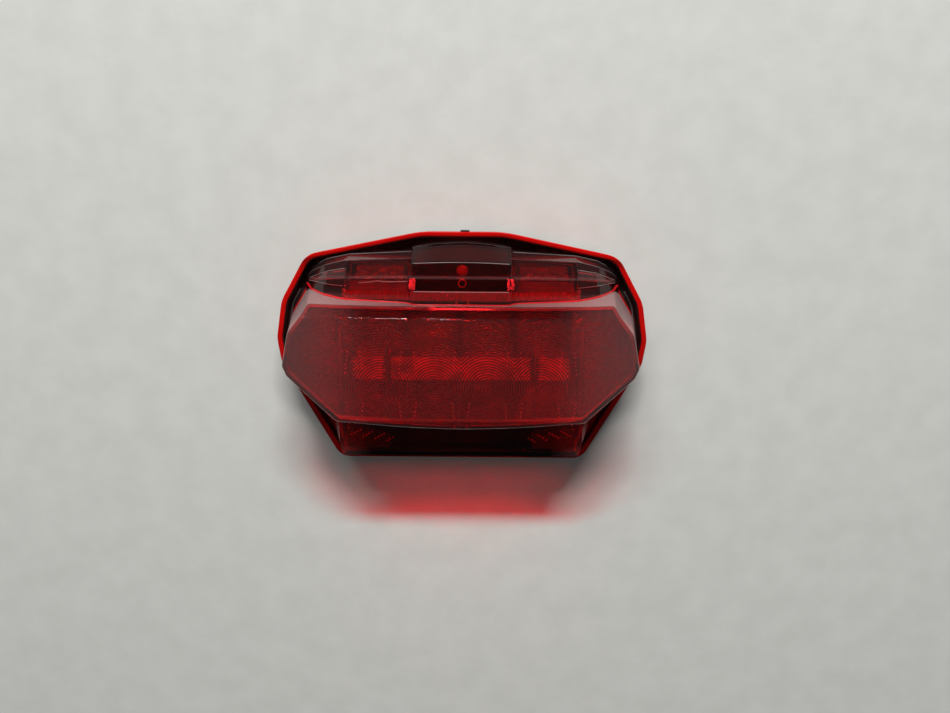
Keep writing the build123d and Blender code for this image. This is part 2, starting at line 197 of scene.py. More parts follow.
def lens_finish():
    """Polished red acrylic, milky and matt on its upright walls and on the panel of the centre block; painted
    shade darkens its steep walls beside the face, and painted sheen, highlight and reflection lighten its
    upper faces, the ridge and the ends of the face.
    """
    t = Tree("lens_red")
    shader = t.shader(Transmission_Weight=1.0, IOR=1.30, Coat_Weight=0.5, Coat_Roughness=0.03)
    broad = t.noise(45, 3)
    x, y, z = t.parts(t.place)
    facing_x, facing_y, facing_z = t.parts(t.facing)
    across = t.number("ABSOLUTE", x)
    squared = t.number("MULTIPLY", x, x)
    inside_x = t.span(across, 0.0232, 0.0236, 1, 0)
    inside_low = t.span(t.number("MULTIPLY_ADD", squared, PANEL_FOOT_BEND, y), 0.0455, 0.0458)
    inside_high = t.span(t.number("MULTIPLY_ADD", squared, PANEL_TOP_BEND, y), 0.0532, 0.0535, 1, 0)
    high_up = t.span(z, 0.0370, 0.0375)
    panel = t.product(inside_x, inside_low, inside_high, high_up)
    marks = t.noise(260, 4, 0.7, stretch=(1, 3, 1))
    polished = t.span(marks, 0.35, 0.8, 0.026, 0.040)
    t.join(t.number("MULTIPLY_ADD", panel, 0.25, polished), shader.inputs["Roughness"])
    t.join(t.span(y, 0.0290, 0.0300, 0.5, 0.05), shader.inputs["Coat Weight"])
    t.join(t.bump(broad, 0.004, 0.0004), shader.inputs["Normal"])

    steep = t.span(t.number("ABSOLUTE", facing_z), 0.30, 0.40, 1, 0)
    facing_x_size = t.number("ABSOLUTE", facing_x)
    outwards = t.span(across, 0.02, 0.065, 0.45, 1)
    wall_rise = t.span(across, 0.060, 0.070, 0.0, 0.004)
    above_wall = t.span(t.number("SUBTRACT", y, wall_rise), 0.0292, 0.0296, 1, 0)
    beside_face = t.number("MULTIPLY", t.span(y, -0.0360, -0.0300), above_wall)
    main_wall = t.product(steep, beside_face, t.span(z, 0.0160, 0.0165), outwards)
    # Painted reflection: the ends of the face are made paler and milkier, standing in for the surroundings
    # reflected there, on top of the real reflection.
    ends = t.product(t.span(across, 0.045, 0.080), t.span(y, 0.0290, 0.0300, 1, 0))
    pointed_end = t.span(across, 0.0565, 0.0575)
    # Painted sheen: upper faces of the strip that face the lamps are made milky, standing in for the lamps'
    # reflection.
    upper_faces = t.number("MAXIMUM", t.span(facing_y, 0.80, 0.88), pointed_end)
    upper = t.product(t.span(y, 0.0310, 0.0330), upper_faces)
    # Painted shade: the steep walls beside the face take a much darker red than the rest of the lens.
    color_with_painted_shade = t.node("ShaderNodeMix", data_type="RGBA")
    edge_or_wall = t.span(t.number("ABSOLUTE", facing_z), 0.62, 0.74, 1, 0)
    t.join(t.number("MULTIPLY", edge_or_wall, beside_face), color_with_painted_shade.inputs["Factor"])
    t.join(t.blend(t.span(broad, 0.3, 0.7), LENS_TINT, LENS_TINT_DEEP), color_with_painted_shade.inputs["A"])
    color_with_painted_shade.inputs["B"].default_value = (*WALL_PAINTED_SHADE, 1)
    t.join(color_with_painted_shade.outputs["Result"], shader.inputs["Base Color"])
    satin_and_painted_sheen = t.number("MULTIPLY", main_wall, WALL_HAZE)
    satin_and_painted_sheen = t.number("MULTIPLY_ADD", upper, UPPER_PAINTED_SHEEN, satin_and_painted_sheen)
    windows = t.product(t.span(y, 0.0300, 0.0310), t.span(across, 0.0240, 0.0260, 0.25, 1.0))
    satin_and_painted_sheen = t.number("MULTIPLY_ADD", windows, WINDOW_HAZE, satin_and_painted_sheen)
    satin_and_painted_sheen = t.number("MULTIPLY_ADD", panel, PANEL_HAZE, satin_and_painted_sheen)
    satin_and_painted_sheen = t.number("MULTIPLY_ADD", ends, END_PAINTED_REFLECTION, satin_and_painted_sheen)
    low_band = t.product(
        t.span(y, 0.0255, 0.0265),
        t.span(y, 0.0312, 0.0318, 1, 0),
        t.span(facing_z, 0.8, 0.9),
    )
    satin_and_painted_sheen = t.number("MULTIPLY_ADD", low_band, BAND_HAZE, satin_and_painted_sheen)
    lower_sides = t.product(
        t.span(facing_x_size, 0.5, 0.7),
        t.span(y, -0.0390, -0.0370, 1, 0),
        t.span(z, 0.0165, 0.0170),
    )
    satin_and_painted_sheen = t.number("MULTIPLY_ADD", lower_sides, LOWER_SIDE_HAZE, satin_and_painted_sheen)
    # Painted highlight: a thin milky line along the ridge of the strip.
    bend = t.number("MULTIPLY_ADD", t.number("MULTIPLY", squared, squared), RIDGE_BEND, y)
    off_ridge = t.number("ABSOLUTE", t.number("SUBTRACT", bend, RIDGE_Y))
    ridge = t.number("MULTIPLY", t.span(off_ridge, 0.0005, 0.0008, 1, 0), t.span(z, 0.0240, 0.0250))
    satin_and_painted_sheen = t.number("MULTIPLY_ADD", ridge, RIDGE_PAINTED_HIGHLIGHT, satin_and_painted_sheen)
    face = t.product(
        t.span(z, 0.0430, 0.0440),
        t.span(y, 0.0190, 0.0196, 1.0, 0.05),
        t.span(y, 0.0290, 0.0300, 1, 0),
    )
    face = t.number("MULTIPLY", face, t.span(y, -0.0300, -0.0290, 2.0, 1.0))
    satin_and_painted_sheen = t.number("MULTIPLY_ADD", face, FACE_HAZE, satin_and_painted_sheen, clamp=True)
    milk = t.shader(Roughness=0.45)
    fine = t.noise(1600, 2)
    t.join(t.blend(t.span(fine, 0.3, 0.7), (0.58, 0.41, 0.40), (0.66, 0.48, 0.47)), milk.inputs["Base Color"])
    t.join(t.bump(fine, 0.2, 0.00005), milk.inputs["Normal"])
    light_tint = t.blend(t.span(across, 0.064, 0.078), LENS_LIGHT, END_LIGHT)
    return t.finish_clear(t.mix(satin_and_painted_sheen, shader.outputs[0], milk.outputs[0]), light_tint)


def ringed_finish():
    """Clear red plastic with round ridges; a painted highlight lightens its milky colour along their crests,
    less towards the top, and a painted glow brightens a band above the lamps.
    """
    t = Tree("optic_red")
    shader = t.shader(Transmission_Weight=1.0, IOR=1.49, Roughness=0.05)
    broad = t.noise(45, 3)
    tint = t.blend(t.span(broad, 0.3, 0.7), (0.93, 0.17, 0.15), (0.85, 0.13, 0.12))
    t.join(tint, shader.inputs["Base Color"])
    x, y, z = t.parts(t.place)
    from_middle = t.number("SUBTRACT", t.number("FLOORED_MODULO", x, LAMP_PITCH), LAMP_PITCH / 2)
    from_row = t.number("SUBTRACT", y, LAMP_ROW)
    squares = t.number("MULTIPLY_ADD", from_middle, from_middle, t.number("MULTIPLY", from_row, from_row))
    turns = t.number("MULTIPLY", t.number("SQRT", squares), math.tau / RING_PITCH)
    # Painted highlight: the milky colour is lighter along the crests of the rings and fades towards the top.
    crest = t.span(t.number("COSINE", turns), -0.6, 1.0)
    patches = t.noise(110, 3, 0.6)
    crest = t.product(crest, t.span(patches, 0.3, 0.7, 0.5, 1.0), t.span(y, 0.004, 0.021, 1.0, 0.45))
    crest = t.number("MULTIPLY", crest, t.span(y, 0.0205, 0.0225, 1.0, 0.1))
    milk = t.shader(Roughness=0.35)
    beside_rib = t.number("ABSOLUTE", t.number("SUBTRACT", t.number("ABSOLUTE", x), RIB_X))
    # Painted glow: a brighter band above the lamps, between the ribs, standing in for the lit reflector
    # behind the plate.
    band = t.product(
        t.span(y, -0.0122, -0.0110),
        t.span(y, -0.0010, 0.0000, 1, 0),
        t.span(t.number("ABSOLUTE", x), 0.0520, 0.0535, 1, 0),
        t.span(beside_rib, 0.0016, 0.0026),
        t.span(patches, 0.3, 0.65, 0.35, 1.0),
    )
    milk_with_painted_light = t.node("ShaderNodeMix", data_type="RGBA")
    t.join(band, milk_with_painted_light.inputs["Factor"])
    t.join(t.blend(crest, (0.014, 0.005, 0.005), (0.26, 0.034, 0.031)), milk_with_painted_light.inputs["A"])
    t.join(t.blend(crest, (0.10, 0.013, 0.012), (0.72, 0.085, 0.070)), milk_with_painted_light.inputs["B"])
    t.join(milk_with_painted_light.outputs["Result"], milk.inputs["Base Color"])
    return t.finish_clear(t.mix(0.6, shader.outputs[0], milk.outputs[0]), (0.92, 0.40, 0.36))


def rim_finish():
    """Red acrylic whose edge carries light that enters at its outer wall; its colour is also painted lighter
    towards the top, where the lamps stand, and painted darker along the inner edge at the top: painted light
    and painted shade.
    """
    t = Tree("rim_red")
    shader = t.shader(
        IOR=1.45,
        Specular_IOR_Level=0.2,
        Subsurface_Weight=0.4,
        Subsurface_Radius=(1.0, 0.05, 0.04),
        Subsurface_Scale=0.004,
    )
    broad = t.noise(60, 4)
    x, y, z = t.parts(t.place)
    # Painted light: the colour grows lighter towards the top, on the side of the lamps.
    painted_top_light = t.number("MULTIPLY_ADD", t.span(broad, 0.35, 0.65), 0.12, t.span(y, -0.035, 0.012, 0.0, 0.88))
    from_top = t.number("SUBTRACT", RIM_TOP, y)
    slope_line = t.number("MULTIPLY_ADD", t.number("ABSOLUTE", x), -RIM_SLOPE, RIM_PEAK)
    from_slope = t.number("SUBTRACT", slope_line, y)
    # Painted shade: the colour is darker near the inner edge along the top.
    painted_inner_shade = t.span(t.number("MINIMUM", from_top, from_slope), 0.0013, 0.0023)
    painted_inner_shade = t.product(painted_inner_shade, t.span(y, 0.038, 0.046), 0.85)
    painted_top_light = t.number("MULTIPLY", painted_top_light, t.number("SUBTRACT", 1.0, painted_inner_shade))
    t.join(t.blend(painted_top_light, (0.09, 0.002, 0.002), (0.58, 0.004, 0.003)), shader.inputs["Base Color"])
    t.join(t.span(broad, 0.3, 0.7, 0.16, 0.26), shader.inputs["Roughness"])
    t.join(t.bump(t.noise(400, 3), 0.05, 0.0001), shader.inputs["Normal"])
    return t.finish(shader.outputs[0])


RIM_TOP = 59.1 * MM
RIM_PEAK = 63.4 * MM
RIM_SLOPE = 0.205
RING_PITCH = 1.3 * MM
lamp_low, lamp_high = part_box("stop_led_bodies")
LAMPS = 6
LAMP_BODY = 5 * MM
LAMP_PITCH = (lamp_high[0] - lamp_low[0] - LAMP_BODY) / (LAMPS - 1)
LAMP_ROW = (lamp_low[1] + lamp_high[1]) / 2
RIB_X = 36 * MM
LENS_TINT = (0.80, 0.015, 0.02)
LENS_TINT_DEEP = (0.72, 0.010, 0.015)
WALL_PAINTED_SHADE = (0.22, 0.004, 0.006)
LENS_LIGHT = (0.94, 0.12, 0.12)
END_LIGHT = (0.60, 0.12, 0.11)
WALL_HAZE = 0.35
UPPER_PAINTED_SHEEN = 0.010
WINDOW_HAZE = 0.010
LOWER_SIDE_HAZE = 0.30
PANEL_FOOT_BEND = 1.39
PANEL_TOP_BEND = 3.99
PANEL_HAZE = 0.004
END_PAINTED_REFLECTION = 0.07
BAND_HAZE = 0.02
FACE_HAZE = 0.018
RIDGE_Y = 0.0382
RIDGE_BEND = 88
RIDGE_PAINTED_HIGHLIGHT = 0.04

LENS = lens_finish()
RIM = rim_finish()
OPTIC = ringed_finish()
GUIDE = clear_finish("guide_red", (0.9, 0.05, 0.05), (0.95, 0.3, 0.3), 0.03, (0.16, 0.008, 0.008), 0.25)
REFLEX = clear_finish("reflex_red", (0.8, 0.04, 0.04), (0.8, 0.2, 0.2), 0.04, (0.012, 0.001, 0.001), 0.5)
CLEAR = clear_finish("dome_clear", (0.95, 0.9, 0.75), (0.95, 0.9, 0.8), 0.03, (0.6, 0.5, 0.3), 0.2)
MARKER = clear_finish("marker_red", (0.8, 0.12, 0.1), (0.95, 0.5, 0.5), 0.02, (0.34, 0.012, 0.010), 0.35)
FLUTED = clear_finish("fluted_red", (0.9, 0.05, 0.05), (0.9, 0.3, 0.3), 0.1, (0.30, 0.02, 0.025), 0.6)
FACET = solid_finish("facet_red", (0.05, 0.003, 0.003), (0.11, 0.006, 0.006), 0.3, 700, 0.1)
GLINT_DOT = solid_finish("glint_dot_red", (0.35, 0.030, 0.020), (0.60, 0.070, 0.040), 0.3, 700, 0.1)
HIGHLIGHT_BEAD = solid_finish("highlight_bead_red", (0.20, 0.03, 0.03), (0.30, 0.05, 0.05), 0.10, 700, 0.02)
PALE = solid_finish("edge_pale", (0.24, 0.16, 0.16), (0.34, 0.24, 0.24), 0.3, 900, 0.1)
CREASE_GLOW = solid_finish("crease_glow_red", (0.50, 0.008, 0.010), (0.65, 0.014, 0.018), 0.25, 700, 0.1)
MARKER_GLINT = solid_finish("marker_glint_red", (0.26, 0.010, 0.010), (0.36, 0.016, 0.018), 0.3, 700, 0.1)
BAND = solid_finish("band_red", (0.85, 0.09, 0.05), (1.0, 0.16, 0.08), 0.25, 700, 0.2)
BLACK = solid_finish("housing_black", (0.010, 0.010, 0.011), (0.018, 0.018, 0.019), 0.5, 1400, 0.35)
LINER = solid_finish("liner_black", (0.004, 0.003, 0.003), (0.008, 0.005, 0.005), 0.45, 1400, 0.2)
EDGE = solid_finish("edge_grey", (0.10, 0.085, 0.085), (0.16, 0.14, 0.14), 0.4, 1400, 0.2)
BEZEL = solid_finish("bezel_black", (0.004, 0.002, 0.002), (0.008, 0.004, 0.004), 0.5, 1100, 0.2, IOR=1.3)
RUBBER = solid_finish("seal_black", (0.008, 0.008, 0.008), (0.016, 0.016, 0.016), 0.75, 900, 0.4)
BOARD = solid_finish("board_green", (0.010, 0.060, 0.030), (0.016, 0.085, 0.042), 0.35, 700, 0.12)
ALUMINIUM = solid_finish(
    "spreader_aluminium", (0.66, 0.67, 0.69), (0.76, 0.77, 0.79), 0.38, 900, 0.15, Metallic=1.0
)
PAD = solid_finish("pad_grey", (0.28, 0.29, 0.31), (0.36, 0.37, 0.39), 0.8, 600, 0.4)
STEEL = solid_finish("screw_zinc", (0.50, 0.50, 0.49), (0.62, 0.62, 0.60), 0.32, 1200, 0.15, Metallic=1.0)
WHITE = solid_finish("led_white", (0.70, 0.70, 0.66), (0.80, 0.80, 0.77), 0.4, 900, 0.15)
CHIP = solid_finish("chip_black", (0.018, 0.018, 0.018), (0.030, 0.030, 0.030), 0.55, 2200, 0.35)
TIN = solid_finish("lead_tin", (0.62, 0.62, 0.61), (0.74, 0.74, 0.73), 0.28, 1500, 0.15, Metallic=1.0)
TAN = solid_finish("capacitor_tan", (0.42, 0.30, 0.16), (0.52, 0.38, 0.22), 0.5, 1500, 0.2)
WIRE_RED = solid_finish("wire_red", (0.35, 0.012, 0.012), (0.45, 0.02, 0.02), 0.42, 1500, 0.15)
WIRE_YELLOW = solid_finish("wire_yellow", (0.55, 0.38, 0.03), (0.65, 0.46, 0.05), 0.42, 1500, 0.15)
WIRE_BLACK = solid_finish("wire_black", (0.012, 0.012, 0.012), (0.02, 0.02, 0.02), 0.42, 1500, 0.15)
SOCKET = solid_finish("socket_black", (0.020, 0.020, 0.021), (0.032, 0.032, 0.034), 0.42, 1500, 0.3)
BRASS = solid_finish("brass", (0.68, 0.48, 0.20), (0.80, 0.60, 0.28), 0.3, 1300, 0.2, Metallic=1.0)
ORANGE = solid_finish("seal_orange", (0.50, 0.14, 0.02), (0.62, 0.2, 0.03), 0.6, 900, 0.3)
MEMBRANE = solid_finish("membrane_white", (0.70, 0.70, 0.69), (0.82, 0.82, 0.81), 0.85, 2600, 0.6)

FINISH_OF_SLOT = {
    "red_lens": LENS,
    "rim_red": RIM,
    "housing_black": BLACK,
    "seal_rubber": RUBBER,
    "bezel_black": BEZEL,
    "red_optic": OPTIC,
    "red_guide": GUIDE,
    "red_reflex": REFLEX,
    "board_green": BOARD,
    "spreader_aluminium": ALUMINIUM,
    "pad_grey": PAD,
    "screw_steel": STEEL,
    "led_white": WHITE,
    "dome_clear": CLEAR,
    "marker_red": MARKER,
    "chip_black": CHIP,
    "lead_tin": TIN,
    "capacitor_tan": TAN,
    "wire_red": WIRE_RED,
    "wire_yellow": WIRE_YELLOW,
    "wire_black": WIRE_BLACK,
    "socket_black": SOCKET,
    "pin_brass": BRASS,
    "seal_orange": ORANGE,
    "membrane_white": MEMBRANE,
    "insert_brass": BRASS,
}
for part in frame["record"]["subparts"]:
    for entry in nodes[part["node"]].material_slots:
        entry.material = FINISH_OF_SLOT[part["material_slot"]]


# ---------------------------------------------------------------- shapes
def add_piece(name, mesh, finish, slot, *hidden, smooth=False):
    """Put a bmesh in the scene as a piece of the light."""
    bmesh.ops.recalc_face_normals(mesh, faces=mesh.faces)
    for face in mesh.faces:
        face.smooth = smooth
    data = bpy.data.meshes.new(name)
    mesh.to_mesh(data)
    mesh.free()
    data.materials.append(finish)
    piece = bpy.data.objects.new(name, data)
    scene.collection.objects.link(piece)
    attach(piece, "root")
    if hidden:
        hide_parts(*hidden)
    return piece


def section(node, height):
    """The closed outlines of a CAD node at a height, the longest first."""
    mesh = bmesh.new()
    mesh.from_mesh(nodes[node].data)
    bmesh.ops.remove_doubles(mesh, verts=mesh.verts, dist=0.002 * MM)
    everything = mesh.verts[:] + mesh.edges[:] + mesh.faces[:]
    cut = bmesh.ops.bisect_plane(mesh, geom=everything, plane_co=(0, 0, height), plane_no=(0, 0, 1))
    beside = {}
    for item in cut["geom_cut"]:
        if isinstance(item, bmesh.types.BMEdge):
            first, second = item.verts
            beside.setdefault(first, []).append(second)
            beside.setdefault(second, []).append(first)
    loops = []
    while beside:
        start = next(iter(beside))
        here = start
        loop = []
        while here in beside:
            loop.append(here.co.copy())
            following = [other for other in beside.pop(here) if other in beside]
            if not following:
                break
            here = following[0]
        loops.append(loop)
    mesh.free()
    return sorted(loops, key=loop_length, reverse=True)


def loop_length(points):
    return sum((a - b).length for a, b in zip(points, points[1:] + points[:1]))


def turning(points):
    """1 for an outline that runs anticlockwise, and -1 for one that runs clockwise."""
    area = sum(a.x * b.y - b.x * a.y for a, b in zip(points, points[1:] + points[:1]))
    return 1 if area > 0 else -1


def moved_in(points, distance):
    """A flat outline moved towards its inside."""
    count = len(points)
    side = turning(points)
    moved = []
    for index, here in enumerate(points):
        along = (points[(index + 1) % count] - points[index - 1]).normalized()
        moved.append(here + Vector((-along.y, along.x, 0)) * side * distance)
    return moved


def ring(outer, inner, low, high):
    """A closed wall between two outlines with the same number of points."""
    mesh = bmesh.new()
    rows = []
    for points, height in ((outer, low), (outer, high), (inner, high), (inner, low)):
        rows.append([mesh.verts.new((p.x, p.y, height)) for p in points])
    count = len(outer)
    for index in range(4):
        first = rows[index]
        second = rows[(index + 1) % 4]
        for i in range(count):
            j = (i + 1) % count
            mesh.faces.new((first[i], first[j], second[j], second[i]))
    return mesh


def tube(mesh, points, radius, closed=False, sides=8):
    """A round bead along points, with one radius or one for each point."""
    count = len(points)
    sizes = radius if isinstance(radius, list) else [radius] * count
    rows = []
    for index, here in enumerate(points):
        before = points[index - 1] if closed or index else here
        after = points[(index + 1) % count] if closed or index < count - 1 else here
        along = (after - before).normalized()
        side = along.cross(Vector((0, 0, 1))).normalized()
        up = side.cross(along)
        row = []
        for step in range(sides):
            angle = math.tau * step / sides
            spoke = side * math.cos(angle) + up * math.sin(angle)
            row.append(mesh.verts.new(here + spoke * sizes[index]))
        rows.append(row)
    for index in range(count if closed else count - 1):
        first = rows[index]
        second = rows[(index + 1) % count]
        for step in range(sides):
            after = (step + 1) % sides
            mesh.faces.new((first[step], first[after], second[after], second[step]))
    if not closed:
        mesh.faces.new(rows[0])
        mesh.faces.new(rows[-1])
    return mesh


def block(mesh, low, high):
    """A closed box with a small bevel on its edges."""
    made = bmesh.ops.create_cube(mesh, size=1)["verts"]
    size = Vector(high) - Vector(low)
    middle = (Vector(high) + Vector(low)) / 2
    for vert in made:
        vert.co = middle + Vector((vert.co.x * size.x, vert.co.y * size.y, vert.co.z * size.z))
    edges = {edge for vert in made for edge in vert.link_edges}
    width = min(size) * 0.15
    bmesh.ops.bevel(mesh, geom=list(edges), offset=width, segments=2, affect="EDGES", profile=0.6)


def bump_dot(mesh, place, radius, sides=8, rings=3):
    """A small round bump that stands on a surface."""
    top = mesh.verts.new(place + Vector((0, 0, radius)))
    rows = []
    for ring_index in range(1, rings + 1):
        angle = math.pi / 2 * ring_index / rings
        row = []
        for step in range(sides):
            turn = math.tau * step / sides
            across = Vector((math.cos(turn), math.sin(turn), 0)) * math.sin(angle) * radius
            row.append(mesh.verts.new(place + across + Vector((0, 0, math.cos(angle) * radius))))
        rows.append(row)
    for step in range(sides):
        after = (step + 1) % sides
        mesh.faces.new((top, rows[0][step], rows[0][after]))
        for first, second in zip(rows, rows[1:]):
            mesh.faces.new((first[step], second[step], second[after], first[after]))
    mesh.faces.new(rows[-1])


def surface_tree(node):
    """A CAD node's surface, for rays."""
    mesh = bmesh.new()
    mesh.from_mesh(nodes[node].data)
    tree = BVHTree.FromBMesh(mesh)
    mesh.free()
    return tree


# ---------------------------------------------------------------- black liner inside the rim
rim_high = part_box("lens_rim")[1]
web_height = 16 * MM
rim_inner = section("lens_rim", 20 * MM)[1]
liner_outer = moved_in(rim_inner, 0.05 * MM)
liner = ring(liner_outer, moved_in(liner_outer, 0.4 * MM), web_height, rim_high[2] - 0.9 * MM)
add_piece("channel_liner", liner, LINER, "housing_black")

# ---------------------------------------------------------------- bead at the foot of the lens walls, painted bright red as a glowing crease
lens_surface = surface_tree("outer_lens")
plate_low, plate_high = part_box("fresnel_plate")
plate_outline = section("fresnel_plate", (plate_low[2] + plate_high[2]) / 2)[0]
DOWN = Vector((0, 0, -1))
SKY = 80 * MM
FOOT_STEP = 0.15 * MM
WALL_SLOPE = 2.6


def resampled(points, pitch):
    """A closed outline with even spacing."""
    spots = []
    for here, following in zip(points, points[1:] + points[:1]):
        pieces = max(round((following - here).length / pitch), 1)
        spots += [here.lerp(following, piece / pieces) for piece in range(pieces)]
    return spots


def surface_below(x, y):
    """The height of the lens under a spot."""
    return lens_surface.ray_cast(Vector((x, y, SKY)), DOWN)[0].z


def wall_foot(start, outward):
    """Walk outwards over the edge of the main body and down its wall, to where the wall ends."""
    on_wall = False
    reach = 0.5 * MM
    while reach < 20 * MM:
        near = start + outward * reach
        far = near + outward * FOOT_STEP
        near_height = surface_below(near.x, near.y)
        drop = (near_height - surface_below(far.x, far.y)) / FOOT_STEP
        if drop > WALL_SLOPE:
            on_wall = True
        elif on_wall and drop < WALL_SLOPE / 2:
            return Vector((near.x, near.y, near_height))
        reach += FOOT_STEP
    return None


def eased(points, turns):
    """Points averaged with their neighbours, with both ends kept."""
    for _ in range(turns):
        inner = [(a + b + c) / 3 for a, b, c in zip(points, points[1:], points[2:])]
        points = [points[0]] + inner + [points[-1]]
    return points


def foot_rays(points, pitch, low_y):
    """Starts and outward directions along the upper part of an outline, with a fan at each corner."""
    spots = resampled(points, pitch)
    count = len(spots)
    side = turning(spots)
    rays = []
    for index, spot in enumerate(spots):
        into = (spot - spots[index - 1]).normalized()
        away = (spots[(index + 1) % count] - spot).normalized()
        turns = max(round(math.degrees(into.angle(away)) / 5), 1)
        for turn in range(turns):
            along = into.lerp(away, (turn + 0.5) / turns).normalized()
            outward = Vector((along.y, -along.x, 0)) * side
            if spot.y > low_y:
                rays.append((spot, outward))
    first = min(range(len(rays)), key=lambda i: (rays[i][0].x > 0, rays[i][0].y))
    rays = rays[first:] + rays[:first]
    if rays[1][0].y < rays[0][0].y:
        rays = [rays[0]] + rays[:0:-1]
    return rays


foot_places = [wall_foot(start, outward) for start, outward in foot_rays(plate_outline, 1.2 * MM, -4 * MM)]
foot_line = eased([place for place in foot_places if place is not None], 3)
foot_sizes = [0.35 * MM + 0.32 * MM * min(abs(place.x) / (60 * MM), 1) ** 2 for place in foot_line]
bead = tube(bmesh.new(), foot_line, foot_sizes)
# Painted glow: the bead's bright red stands in for light carried along the crease at the foot of the walls.
add_piece("wall_foot_bead", bead, CREASE_GLOW, "red_lens", smooth=True)


def draped(corners, steps=14):
    """A line laid on the lens through corners given as x and y in millimetres."""
    places = []
    for (x1, y1), (x2, y2) in zip(corners, corners[1:]):
        for step in range(steps):
            x = (x1 + (x2 - x1) * step / steps) * MM
            y = (y1 + (y2 - y1) * step / steps) * MM
            places.append(Vector((x, y, surface_below(x, y) - LINE_DEPTH)))
    x, y = corners[-1]
    places.append(Vector((x * MM, y * MM, surface_below(x * MM, y * MM) - LINE_DEPTH)))
    return places


def flipped(corners):
    return [(-x, y) for x, y in corners]


# Fine lines where the faces of the strip meet
LINE_DEPTH = 0.08 * MM
block_foot = [(-22.5, 31.6), (22.5, 31.6)]
block_line = tube(bmesh.new(), draped(block_foot, 40), 0.18 * MM)
add_piece("block_line", block_line, PALE, "red_lens", smooth=True)

panel_foot = [(x, 45.15 - 0.8 * (x / 24) ** 2) for x in range(-23, 24)]
arrow_top = [(77.0, 35.7), (66.0, 39.8), (57.0, 41.5)]
arrow_foot = [(77.0, 34.5), (66.0, 33.7), (57.0, 33.2)]
pale_lines = bmesh.new()
tube(pale_lines, draped(panel_foot, 1), 0.2 * MM)
for corners in (arrow_top, arrow_foot):
    tube(pale_lines, draped(corners), 0.16 * MM)
    tube(pale_lines, draped(flipped(corners)), 0.16 * MM)
add_piece("panel_lines", pale_lines, PALE, "red_lens", smooth=True)

wall_top_line = [(25.2, 49.4), (56.5, 47.7), (68.0, 45.2), (76.0, 41.2), (80.3, 37.2)]
shoulder_line = [(57.0, 45.2), (68.0, 42.4), (76.0, 39.0), (80.0, 35.8)]
strip_lines = bmesh.new()
for corners in (wall_top_line, shoulder_line):
    tube(strip_lines, draped(corners), 0.24 * MM)
    tube(strip_lines, draped(flipped(corners)), 0.24 * MM)
add_piece("strip_lines", strip_lines, EDGE, "red_lens", smooth=True)

# Glossy bead in the left window only, put there to catch a highlight of the left lamp
highlight_bead_line = [(-49.0, 35.2), (-44.0, 35.5), (-40.0, 36.2), (-36.0, 35.9), (-31.0, 36.0), (-25.0, 36.3)]
highlight_bead_mesh = tube(bmesh.new(), draped(highlight_bead_line, 6), 0.36 * MM)
add_piece("window_highlight_bead", highlight_bead_mesh, HIGHLIGHT_BEAD, "red_lens", smooth=True)

# Red ring on the floor of the shroud, in front of the marker lamp: a painted reflection, standing in for a
# second, dimmer image of the lamp
glint_centre = Vector((0, 33.2 * MM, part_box("marker_shroud")[0][2] + 1.3 * MM))
glint_points = []
for step in range(24):
    angle = math.tau * step / 24
    glint_points.append(glint_centre + Vector((math.cos(angle), math.sin(angle), 0)) * 1.9 * MM)
glint_ring = tube(bmesh.new(), glint_points, 0.3 * MM, closed=True)
add_piece("marker_glint_ring", glint_ring, MARKER_GLINT, "red_guide", smooth=True)

# Raised line along the floor of the black channel at both sides
channel_mesh = bmesh.new()
channel_line = moved_in(resampled(rim_inner, 2 * MM), 2.3 * MM)
for side in (-1, 1):
    run = [place for place in channel_line if place.x * side > 60 * MM and -4 * MM < place.y < 30 * MM]
    run.sort(key=lambda place: place.y)
    run = [Vector((place.x, place.y, web_height + 3 * MM)) for place in run]
    tube(channel_mesh, run, 0.22 * MM)
add_piece("channel_line", channel_mesh, EDGE, "housing_black", smooth=True)

# ---------------------------------------------------------------- ringed plate behind the main face
RING_STEPS = 84
CELL_GAP = 0.03 * MM


RING_RELIEF = 0.42 * MM
STEPS_PER_RING = 4


def ringed_sheet(centre, reach):
    """Round ridges around a centre, as a sheet."""
    mesh = bmesh.new()
    inner = [mesh.verts.new((centre.x, centre.y, plate_high[2]))]
    for index in range(1, int(reach / RING_PITCH * STEPS_PER_RING) + 1):
        radius = RING_PITCH * index / STEPS_PER_RING
        wave = 0.5 - 0.5 * math.cos(math.tau * index / STEPS_PER_RING)
        row = []
        for step in range(RING_STEPS):
            turn = math.tau * step / RING_STEPS
            across = Vector((math.cos(turn), math.sin(turn), 0)) * radius
            place = centre + across
            row.append(mesh.verts.new((place.x, place.y, plate_high[2] - RING_RELIEF * wave)))
        for step in range(RING_STEPS):
            after = (step + 1) % RING_STEPS
            if index == 1:
                mesh.faces.new((inner[0], row[step], row[after]))
            else:
                mesh.faces.new((inner[step], row[step], row[after], inner[after]))
        inner = row
    return mesh


def cut_away(mesh, place, outward):
    everything = mesh.verts[:] + mesh.edges[:] + mesh.faces[:]
    bmesh.ops.bisect_plane(
        mesh, geom=everything, dist=1e-7, plane_co=place, plane_no=outward, clear_outer=True
    )


def give_depth(mesh, floor_height):
    """Close a sheet into a solid with a flat underside."""
    rim = [edge for edge in mesh.edges if edge.is_boundary]
    made = bmesh.ops.extrude_edge_only(mesh, edges=rim)["geom"]
    lowered = [item for item in made if isinstance(item, bmesh.types.BMVert)]
    for vert in lowered:
        vert.co.z = floor_height
    bmesh.ops.remove_doubles(mesh, verts=lowered, dist=1e-7)
    under = [edge for edge in mesh.edges if edge.is_boundary]
    bmesh.ops.holes_fill(mesh, edges=under, sides=0)


